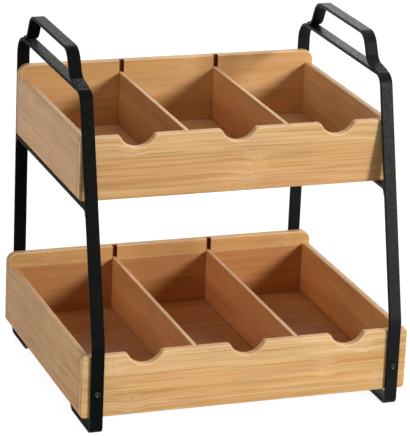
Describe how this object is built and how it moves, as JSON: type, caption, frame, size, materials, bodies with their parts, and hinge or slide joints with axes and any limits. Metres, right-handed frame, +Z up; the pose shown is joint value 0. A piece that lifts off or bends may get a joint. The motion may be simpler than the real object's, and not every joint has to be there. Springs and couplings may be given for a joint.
{
  "type": "tea bag organizer",
  "caption": "Two-tier bamboo tea bag organizer: open trays with thumb notches and lift-out dividers, between two bent black steel strip frames with raised handles.",
  "frame": {"origin": "on the table, under the middle of the organizer's length and depth", "axes": "+Z up, +X to the right as seen from the front, +Y to the rear"},
  "size_m": [0.3, 0.2526, 0.3163],
  "materials": {
    "bamboo": "satin",
    "divider_bamboo": "satin",
    "dowel_wood": "matt",
    "black_steel": "fine matt powder coat",
    "screw_steel": "black oxide"
  },
  "bodies": {
    "organizer": {"lower_front_panel": "bamboo", "lower_back_panel": "bamboo", "lower_left_side": "bamboo", "lower_right_side": "bamboo", "lower_floor": "bamboo", "upper_front_panel": "bamboo", "upper_back_panel": "bamboo", "upper_left_side": "bamboo", "upper_right_side": "bamboo", "upper_floor": "bamboo", "left_frame": "black_steel", "left_handle": "black_steel", "left_support_bar": "black_steel", "right_frame": "black_steel", "right_handle": "black_steel", "right_support_bar": "black_steel", "left_front_screw": "screw_steel", "left_lower_rear_screw": "screw_steel", "left_upper_rear_screw": "screw_steel", "left_support_screw": "screw_steel", "right_front_screw": "screw_steel", "right_lower_rear_screw": "screw_steel", "right_upper_rear_screw": "screw_steel", "right_support_screw": "screw_steel", "lower_front_left_low_dowel": "dowel_wood", "lower_front_left_high_dowel": "dowel_wood", "lower_front_right_low_dowel": "dowel_wood", "lower_front_right_high_dowel": "dowel_wood", "lower_rear_left_low_dowel": "dowel_wood", "lower_rear_left_high_dowel": "dowel_wood", "lower_rear_right_low_dowel": "dowel_wood", "lower_rear_right_high_dowel": "dowel_wood", "upper_front_left_low_dowel": "dowel_wood", "upper_front_left_high_dowel": "dowel_wood", "upper_front_right_low_dowel": "dowel_wood", "upper_front_right_high_dowel": "dowel_wood", "upper_rear_left_low_dowel": "dowel_wood", "upper_rear_left_high_dowel": "dowel_wood", "upper_rear_right_low_dowel": "dowel_wood", "upper_rear_right_high_dowel": "dowel_wood"},
    "lower_left_divider": {"lower_left_divider": "divider_bamboo"},
    "lower_right_divider": {"lower_right_divider": "divider_bamboo"},
    "upper_left_divider": {"upper_left_divider": "divider_bamboo"},
    "upper_right_divider": {"upper_right_divider": "divider_bamboo"}
  },
  "joints": [
    {"name": "lower_left_divider_lift", "type": "slide", "parent": "organizer", "child": "lower_left_divider", "axis": [0, 0, 1], "range_m": [0, 0.0607]},
    {"name": "lower_right_divider_lift", "type": "slide", "parent": "organizer", "child": "lower_right_divider", "axis": [0, 0, 1], "range_m": [0, 0.0607]},
    {"name": "upper_left_divider_lift", "type": "slide", "parent": "organizer", "child": "upper_left_divider", "axis": [0, 0, 1], "range_m": [0, 0.0607]},
    {"name": "upper_right_divider_lift", "type": "slide", "parent": "organizer", "child": "upper_right_divider", "axis": [0, 0, 1], "range_m": [0, 0.0607]}
  ]
}
